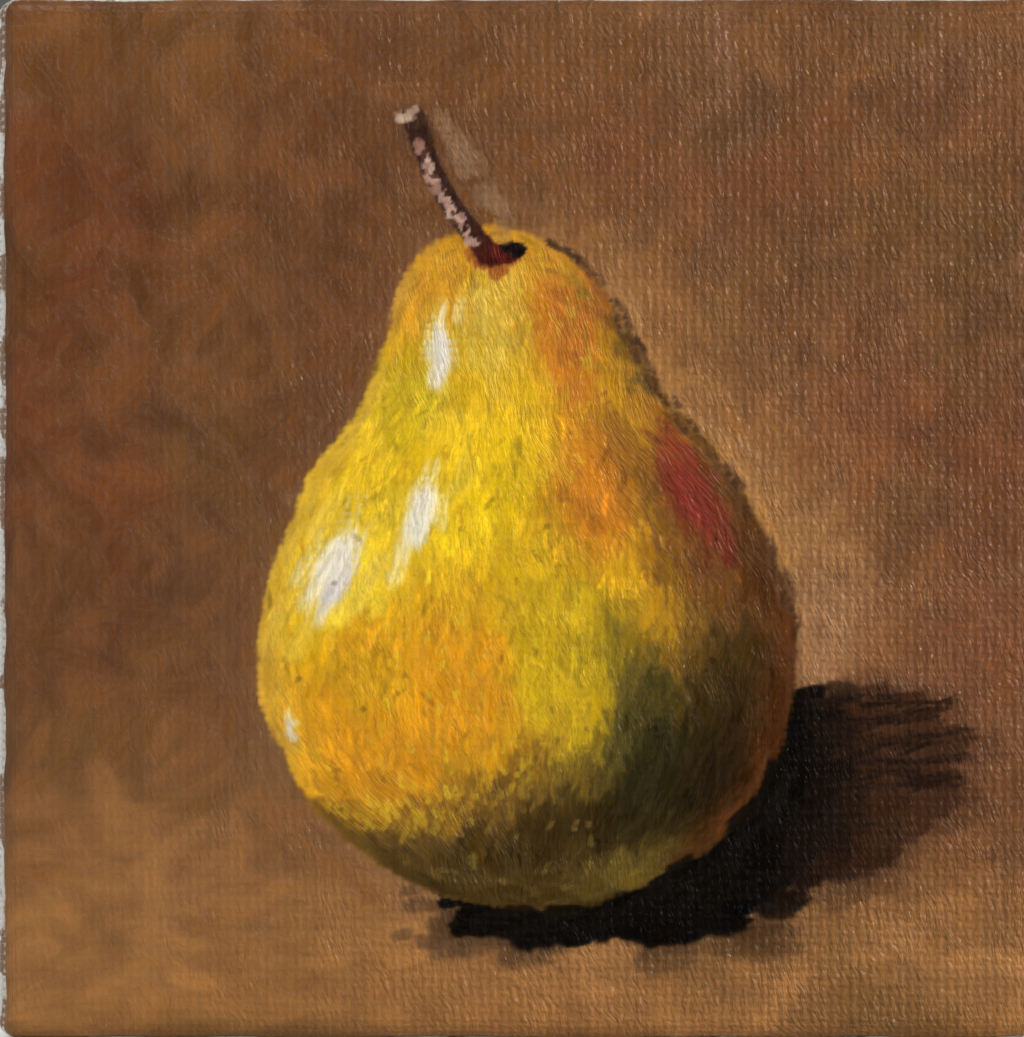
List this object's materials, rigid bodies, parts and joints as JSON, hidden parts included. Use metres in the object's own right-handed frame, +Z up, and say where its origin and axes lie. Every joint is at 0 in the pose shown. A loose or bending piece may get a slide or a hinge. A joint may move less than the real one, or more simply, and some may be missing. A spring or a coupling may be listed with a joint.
{
  "type": "painted stretched canvas",
  "caption": "Small square stretched canvas: primed cotton stapled over a mitred wooden stretcher frame, with a simple acrylic study of a pear on its front.",
  "frame": {"origin": "under the middle of the bottom edge, halfway through the depth", "axes": "+Z up along the picture's height, +X to the right seen from the front, +Y towards the back; the painted front faces -Y"},
  "size_m": [0.1, 0.0182, 0.1],
  "materials": {
    "stretcher_wood": "planed, unfinished pine",
    "primed_canvas": "plain-woven cotton duck under matte white acrylic primer",
    "acrylic_paint": "satin acrylic paint with brush marks over a visible weave",
    "staple_steel": "galvanised flat wire"
  },
  "bodies": {
    "root": {"bar_bottom": "stretcher_wood", "bar_left": "stretcher_wood", "bar_top": "stretcher_wood", "bar_right": "stretcher_wood", "canvas": "primed_canvas", "paint_film": "acrylic_paint", "staple_bottom_1": "staple_steel", "staple_bottom_2": "staple_steel", "staple_bottom_3": "staple_steel", "staple_left_1": "staple_steel", "staple_left_2": "staple_steel", "staple_left_3": "staple_steel", "staple_top_1": "staple_steel", "staple_top_2": "staple_steel", "staple_top_3": "staple_steel", "staple_right_1": "staple_steel", "staple_right_2": "staple_steel", "staple_right_3": "staple_steel", "fold_staple_bottom_1": "staple_steel", "fold_staple_bottom_2": "staple_steel", "fold_staple_top_1": "staple_steel", "fold_staple_top_2": "staple_steel", "corner_staple_bottom_left_outer": "staple_steel", "corner_staple_bottom_left_inner": "staple_steel", "corner_staple_top_left_outer": "staple_steel", "corner_staple_top_left_inner": "staple_steel", "corner_staple_top_right_outer": "staple_steel", "corner_staple_top_right_inner": "staple_steel", "corner_staple_bottom_right_outer": "staple_steel", "corner_staple_bottom_right_inner": "staple_steel"}
  },
  "joints": []
}
